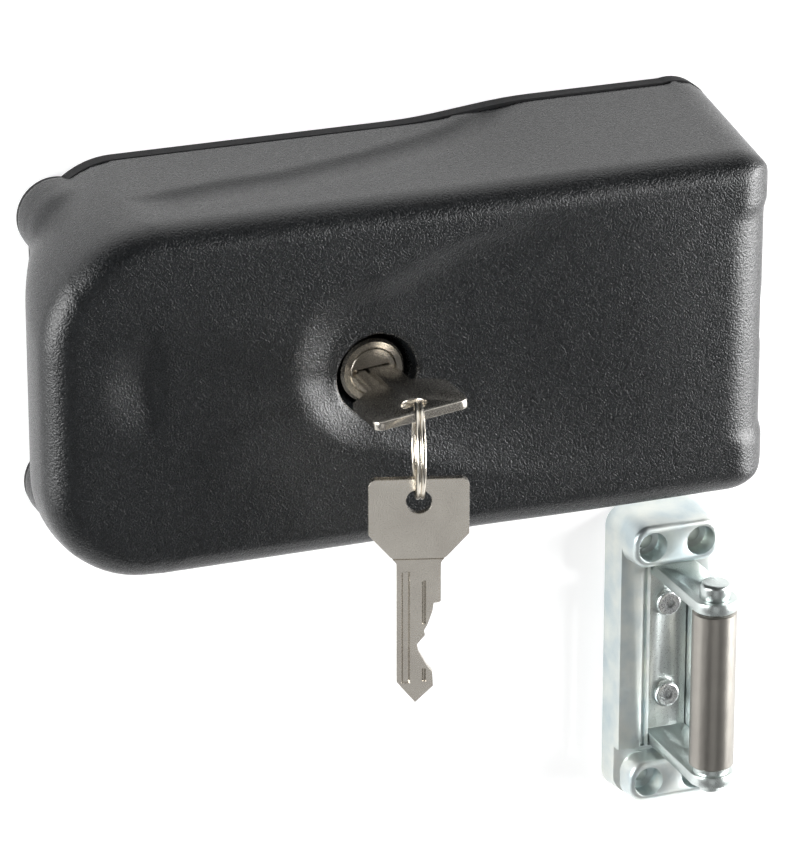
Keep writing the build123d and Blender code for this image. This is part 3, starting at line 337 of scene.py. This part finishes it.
def hollow(x, z):
    """How deep the comet-shaped hollow round the cylinder is at one place, in millimetres."""
    if x < key_x:
        inside = dish_radius - math.hypot(x - key_x, z - dish_z)
        return dish_depth * edge_step(inside, dish_edge, 0.0)
    crisp = soft_step(x, key_x, crease_full)
    above = edge_step(along(upper_crease, x) - z, dish_edge, crisp)
    below_edge = dish_edge + tail_edge * soft_step(x, key_x, tail_widens)
    below = edge_step(z - along(lower_crease, x), below_edge, crisp)
    return dish_depth * (1 - soft_step(x, tail_fades, tail_end)) * above * below


def hook_end(x, y, z, turned):
    """Rounds the case's hook end about an upright axis, its two corner columns a little proud."""
    from_axis = Vector((x - turn_x, y - turn_y))
    proud = column_proud * soft_step(abs(z), column_start, column_full)
    reach = outer_turn + proud if from_axis.dot(turned) > 0 else inner_turn
    if from_axis.x > 0 and from_axis.y < 0 and from_axis.length > reach:
        from_axis *= reach / from_axis.length
    return from_axis.x + turn_x, from_axis.y + turn_y


def dent(x, z):
    """The shallow upright dent near the nose."""
    reach = math.hypot((x - dent_x) / (dent_right if x > dent_x else dent_left), (z - dent_z) / dent_half)
    return dent_depth * (1 - soft_step(reach, 0, 1))


def fold(x, y):
    """How deep the long slanting fold in the case's upper and lower sides is at one place."""
    past = y - along(side_fold, x)
    ends = soft_step(x, fold_start, fold_full) * (1 - soft_step(x, fold_fades, fold_end))
    away = soft_step(past, 0, fold_back) if past > 0 else soft_step(-past, 0, fold_front)
    return fold_depth * ends * (1 - away)


case = merged_copy("cover", "case")
bm = bmesh.new()
bm.from_mesh(case.data)
facing_room = Matrix.Rotation(math.pi / 2, 4, "X")
for height in (lug_z, -lug_z):
    lug = bmesh.ops.create_cone(bm, cap_ends=True, segments=96, radius1=lug_radius, radius2=lug_radius,
                                depth=lug_depth, matrix=Matrix.Translation((lug_x, lug_y, height)) @ facing_room)
    front = {vert for vert in lug["verts"] if vert.co.y < lug_y}
    rim = [edge for edge in bm.edges if front.issuperset(edge.verts)]
    bmesh.ops.bevel(bm, geom=rim, offset=lug_dome, affect="EDGES", segments=6, profile=0.5, material=-1)
bm.to_mesh(case.data)
bm.free()
voxels = case.modifiers.new("voxels", "REMESH")
voxels.mode = "VOXEL"
voxels.voxel_size = 0.00105
bake_modifiers(case)
bm = bmesh.new()
bm.from_mesh(case.data)
bm.normal_update()
for vert in bm.verts:
    x, y, z = vert.co * 1000
    facing = vert.normal
    deep = hollow(x, z)
    from_key = math.hypot(x - key_x, z)
    on_face = facing.y < -0.45 and face_left < x < face_right and abs(z) < face_half
    near_face = y < front_y + face_skin + face_slope * deep or from_key < dish_radius + 1
    if on_face and near_face and from_key > recess_radius:
        vert.co.y = (front_y + deep + dent(x, z)) / 1000
    if abs(facing.z) > 0.6 and facing.z * z > 0 and abs(z) > side_half:
        vert.co.z -= math.copysign(fold(x, y) / 1000, z)
    if x > turn_x and y < turn_y:
        x, y = hook_end(x, y, z, facing.xy)
        vert.co.x, vert.co.y = x / 1000, y / 1000
for _ in range(3):
    bmesh.ops.smooth_vert(bm, verts=bm.verts, factor=0.5, use_axis_x=True, use_axis_y=True, use_axis_z=True)
blend_x, blend_z, blend_radius, blend_front = lug_x + 0.002, lug_z - 0.001, 0.0135, -0.007
lugs = [vert for vert in bm.verts if vert.co.y < blend_front
        and math.hypot(vert.co.x - blend_x, abs(vert.co.z) - blend_z) < blend_radius]
for _ in range(14):
    bmesh.ops.smooth_vert(bm, verts=lugs, factor=0.5, use_axis_x=True, use_axis_y=True, use_axis_z=True)
bm.to_mesh(case.data)
bm.free()
for face in case.data.polygons:
    face.use_smooth = True

case_coat, tree, shader, place = new_material("case_coat")
pebble = noise(tree, place, 2100, 2.5)
tree.links.new(two_tones(tree, noise(tree, place, 900, 4.0), (0.002, 0.0025, 0.003), (0.007, 0.008, 0.009)),
               shader.inputs["Base Color"])
tree.links.new(spread(tree, pebble, 0.22, 0.34), shader.inputs["Roughness"])
tree.links.new(relief(tree, pebble, 1.0, 0.00022), shader.inputs["Normal"])
case.data.materials.append(case_coat)
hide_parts("cover")
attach(case, "lock")

# The screws: M4 steel pan heads with hexagon sockets, cold formed and zinc plated.
# Two enter the case from below, eight hold the inner brackets and two the cylinder.
screw_zinc = metal("screw_zinc", (0.55, 0.57, 0.58), (0.72, 0.73, 0.72), (0.22, 0.38), cloud=300, grain=4000)
dress(screw_zinc, "cover_screws", "frame_screws", "cylinder_screws", "terminal_screws", "strike_adjust_screws")

# The folded brackets, the yoke, the slide and the link: punched sheet steel, bent, then zinc plated.
# Screws hold the brackets to the base plate; the slide runs on two studs.
folded_zinc = metal("folded_zinc", (0.54, 0.56, 0.55), (0.68, 0.70, 0.69), (0.25, 0.42), cloud=80,
                    grain=1600, stretch=(1, 6, 6))
dress(folded_zinc, "bolt_bracket", "coil_yoke", "cylinder_bracket", "release_slide", "pull_link")

# The hook and the catch: hardened steel, fine blanked and ground on both faces.
# The hook turns on its pin in the bracket and closes round the strike's roller.
ground_steel = metal("ground_steel", (0.42, 0.42, 0.42), (0.56, 0.56, 0.55), (0.22, 0.36), cloud=120,
                     grain=1400, stretch=(1, 12, 1), bump=0.2)
dress(ground_steel, "hook_bolt", "catch_lever", "plug_cam")

# The pins, studs and plunger: turned steel bar, their grooves cut on the lathe.
# Retaining rings hold the pins in the bracket's cheeks.
turned_steel = metal("turned_steel", (0.48, 0.48, 0.48), (0.62, 0.62, 0.61), (0.16, 0.3), cloud=150,
                     grain=900, stretch=(1, 1, 14), bump=0.12)
dress(turned_steel, "bolt_pin", "catch_pin", "slide_guides", "plunger")

# The springs and retaining rings: drawn spring wire and blued spring strip.
# One spring drives the hook, one the catch, and one returns the plunger.
spring_wire = metal("spring_wire", (0.20, 0.20, 0.22), (0.34, 0.34, 0.36), (0.24, 0.4), cloud=400, grain=5000)
dress(spring_wire, "bolt_spring", "catch_spring", "plunger_spring", "bolt_pin_clip", "catch_pin_clip")

# The solenoid: enamelled copper wire wound in close turns on a moulded black nylon spool.
# It sits in the iron yoke, and its plunger pulls the catch through the link.
coil_copper, tree, shader, place = new_material("coil_copper")
turns = tree.nodes.new("ShaderNodeTexWave")
turns.wave_type = "BANDS"
turns.bands_direction = "X"
turns.inputs["Scale"].default_value = 640
turns.inputs["Distortion"].default_value = 0.4
tree.links.new(place, turns.inputs["Vector"])
# The copper's colour runs darker into the valleys between the turns, where the bump sinks: painted shade between
# the turns.
tree.links.new(two_tones(tree, turns.outputs["Fac"], (0.30, 0.10, 0.045), (0.62, 0.27, 0.13), 0.1, 0.8),
               shader.inputs["Base Color"])
tree.links.new(spread(tree, turns.outputs["Fac"], 0.42, 0.24), shader.inputs["Roughness"])
tree.links.new(relief(tree, turns.outputs["Fac"], 0.6, 0.0002), shader.inputs["Normal"])
shader.inputs["Metallic"].default_value = 0.85
dress(coil_copper, "coil_winding")


def plastic(name, dark, light, rough):
    """Moulded plastic with a faint flow pattern and a spark-eroded skin."""
    mat, tree, shader, place = new_material(name)
    skin = noise(tree, place, 2600, 2.0)
    tree.links.new(two_tones(tree, noise(tree, place, 120), dark, light), shader.inputs["Base Color"])
    tree.links.new(spread(tree, skin, rough[0], rough[1]), shader.inputs["Roughness"])
    tree.links.new(relief(tree, skin, 0.25, 0.00005), shader.inputs["Normal"])
    return mat


dress(plastic("spool_nylon", (0.022, 0.022, 0.024), (0.04, 0.04, 0.042), (0.42, 0.58)), "coil_bobbin")

# The terminal block: cream polyamide with two brass clamps under their screws.
# It stands beside the cable's rubber grommet on the base plate.
dress(plastic("terminal_polyamide", (0.60, 0.56, 0.46), (0.70, 0.66, 0.56), (0.4, 0.55)), "terminal_block")

# The key cylinder: a nickel-plated brass housing with a turning plug behind a slotted face.
# It stands on its hat-shaped bracket, its face sunk in the case's round recess.
cylinder_nickel = metal("cylinder_nickel", (0.42, 0.39, 0.34), (0.58, 0.54, 0.47), (0.16, 0.3), cloud=200,
                        grain=7000, bump=0.05, depth=0.00002)
dress(cylinder_nickel, "cylinder_body", "cylinder_plug")

# The two keys: nickel silver blanks, stamped and milled, with a satin plated finish.
# One is in the plug; the other hangs from the split ring.


def rounded_copy(node, name, width, segments=2, angle=30):
    """The CAD node's form with its flat faces cleaned and its edges rounded."""
    piece = merged_copy(node, name)
    bm = bmesh.new()
    bm.from_mesh(piece.data)
    bmesh.ops.dissolve_limit(bm, angle_limit=math.radians(0.5), verts=bm.verts, edges=bm.edges,
                             use_dissolve_boundaries=False)
    sharp = [edge for edge in bm.edges
             if len(edge.link_faces) == 2 and edge.calc_face_angle() > math.radians(angle)]
    bmesh.ops.bevel(bm, geom=sharp, offset=width, affect="EDGES", segments=segments, profile=0.5,
                    material=-1, clamp_overlap=True)
    bm.to_mesh(piece.data)
    bm.free()
    for face in piece.data.polygons:
        face.use_smooth = face.area < 0.000002
    piece.data.set_sharp_from_angle(angle=math.radians(35))
    return piece


key_nickel = metal("key_nickel", (0.62, 0.58, 0.52), (0.72, 0.68, 0.61), (0.2, 0.3), cloud=120,
                   grain=7000, bump=0.05, depth=0.00002)
piece = rounded_copy("key", "turned_key", 0.00022)
piece.data.materials.append(key_nickel)
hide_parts("key")
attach(piece, "key")

# The spare key: the same blank, stamped, cut on its right edge, its grooves milled on each face.
# Its blade is a little thinner than the bow, with a fine milled line across the shoulder.
bow_hole_y, bow_hole_radius, half_thick, blade_edge = 5.9, 3.2, 1.1, 0.2
shoulder_top, shoulder_bottom, shoulder_wall = 20.8, 21.4, 0.1
blade_sink, shoulder_sink, groove_sink, groove_wall, groove_end = 0.12, 0.45, 0.65, 0.4, 0.3
outline = [(-12.5, 1.6), (-11.9, 0.5), (-10.9, 0), (10.9, 0), (11.9, 0.5), (12.5, 1.6), (12.5, 14.6),
           (5.7, 22), (5.5, 22.6), (5.5, 32.6), (5.1, 33), (3.7, 33.2), (3.4, 35.4), (2.2, 38.9),
           (1.3, 40.6), (1.6, 41.8), (-0.4, 44.2), (-0.2, 45.8), (2.1, 50.2), (3.4, 51.8), (3.6, 55.6),
           (-0.9, 60), (-4.3, 55.9), (-5.5, 54.4), (-5.5, 22.6), (-5.9, 22), (-12.5, 14.6)]
grooves = [(-4.3, -2.2, 24.6, 54.8), (0.8, 1.8, 27.1, 38.9), (0.8, 1.8, 50.6, 54.4)]
bm = bmesh.new()
rim = [bm.verts.new((-u, v, -half_thick)) for u, v in outline]
for start, end in zip(rim, rim[1:] + rim[:1]):
    bm.edges.new((start, end))
bmesh.ops.create_circle(bm, segments=64, radius=bow_hole_radius,
                        matrix=Matrix.Translation((0, bow_hole_y, -half_thick)))
bmesh.ops.triangle_fill(bm, use_beauty=True, edges=bm.edges[:])
raised = bmesh.ops.extrude_face_region(bm, geom=bm.faces[:])["geom"]
bmesh.ops.translate(bm, verts=[item for item in raised if isinstance(item, bmesh.types.BMVert)],
                    vec=(0, 0, 2 * half_thick))
bmesh.ops.recalc_face_normals(bm, faces=bm.faces)
bmesh.ops.dissolve_limit(bm, angle_limit=math.radians(0.5), verts=bm.verts, edges=bm.edges)
rims = [edge for edge in bm.edges if edge.calc_face_angle() > math.radians(60)
        and abs(edge.verts[0].co.z - edge.verts[1].co.z) < 0.01]
bmesh.ops.bevel(bm, geom=rims, offset=blade_edge, affect="EDGES", segments=2, profile=0.5, material=-1,
                clamp_overlap=True)
bmesh.ops.triangulate(bm, faces=bm.faces)


def cut_lines(start, end, wall):
    """The four lines of a milled cut: its two edges and the feet of its two walls."""
    return start, start + wall, end - wall, end


cuts = [((0, place, 0), (0, 1, 0)) for place in cut_lines(shoulder_top, shoulder_bottom, shoulder_wall)]
for left, right_side, top, bottom in grooves:
    cuts += [((-place, 0, 0), (1, 0, 0)) for place in cut_lines(left, right_side, groove_wall)]
    cuts += [((0, place, 0), (0, 1, 0)) for place in cut_lines(top, bottom, groove_end)]
for plane_co, plane_no in cuts:
    bmesh.ops.bisect_plane(bm, geom=bm.verts[:] + bm.edges[:] + bm.faces[:], dist=0.00001,
                           plane_co=plane_co, plane_no=plane_no)
near = 0.05
for vert in bm.verts:
    if vert.co.y > shoulder_top + near:
        deep = blade_sink if vert.co.y > shoulder_bottom - near else shoulder_sink
        for left, right_side, top, bottom in grooves:
            across = left + groove_wall - near < -vert.co.x < right_side - groove_wall + near
            if across and top + groove_end - near < vert.co.y < bottom - groove_end + near:
                deep = groove_sink if abs(vert.co.z) > half_thick - near / 5 else blade_sink
        vert.co.z -= math.copysign(deep, vert.co.z)
bmesh.ops.recalc_face_normals(bm, faces=bm.faces)
hang_point, hang_turn = (-0.018264, -0.079677, -0.02195), math.radians(-18)
hang = (Matrix.Translation(hang_point) @ Matrix.Rotation(hang_turn, 4, "Z")
        @ Matrix.Rotation(math.radians(90), 4, "X") @ Matrix.Rotation(math.radians(180), 4, "Z")
        @ Matrix.Scale(0.001, 4) @ Matrix.Translation((0, -bow_hole_y, 0)))
bmesh.ops.transform(bm, matrix=hang, verts=bm.verts)
hung = bpy.data.meshes.new("hung_key")
bm.to_mesh(hung)
bm.free()
piece = bpy.data.objects.new("hung_key", hung)
bpy.context.scene.collection.objects.link(piece)
hung.materials.append(key_nickel)
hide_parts("spare_key")
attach(piece, "spare_key")

# The split ring: nickel-plated spring wire in two close turns.
# It passes through both keys' bows and lets the spare key swing.
ring_wire = metal("ring_wire", (0.62, 0.57, 0.49), (0.74, 0.70, 0.62), (0.16, 0.26), cloud=200, grain=7000,
                  bump=0.05, depth=0.00002)
dress(ring_wire, "key_ring")

# The strike: a zinc-alloy casting, blue-passivated, with four countersunk fixing holes.
# Its folded arms stand in the channel, held by two adjusting screws.
cast_zinc = metal("cast_zinc", (0.56, 0.64, 0.66), (0.80, 0.82, 0.77), (0.34, 0.5), cloud=110,
                  grain=3500, bump=0.15, depth=0.00004)
piece = rounded_copy("strike_base", "strike_casting", 0.0005)
piece.data.materials.append(cast_zinc)
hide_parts("strike_base")
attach(piece, "lock")
arm_zinc = metal("arm_zinc", (0.58, 0.63, 0.62), (0.70, 0.75, 0.73), (0.26, 0.38), cloud=80,
                 grain=5000, bump=0.08, depth=0.00003)
dress(arm_zinc, "strike_washer")
for node, name, body in (("strike_bracket", "strike_arms", "strike_bracket"),
                         ("strike_axle", "riveted_axle", "strike_bracket")):
    piece = rounded_copy(node, name, 0.0003)
    piece.data.materials.append(arm_zinc)
    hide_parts(node)
    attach(piece, body)

# The roller: a turned and ground stainless sleeve on its riveted axle.
# The hook pulls on it, so it turns freely over a collar washer.
roller_steel = metal("roller_steel", (0.30, 0.285, 0.26), (0.40, 0.38, 0.345), (0.28, 0.4), cloud=60,
                     grain=900, stretch=(1, 1, 10), bump=0.03, depth=0.00002)
dress(roller_steel, "strike_roller")
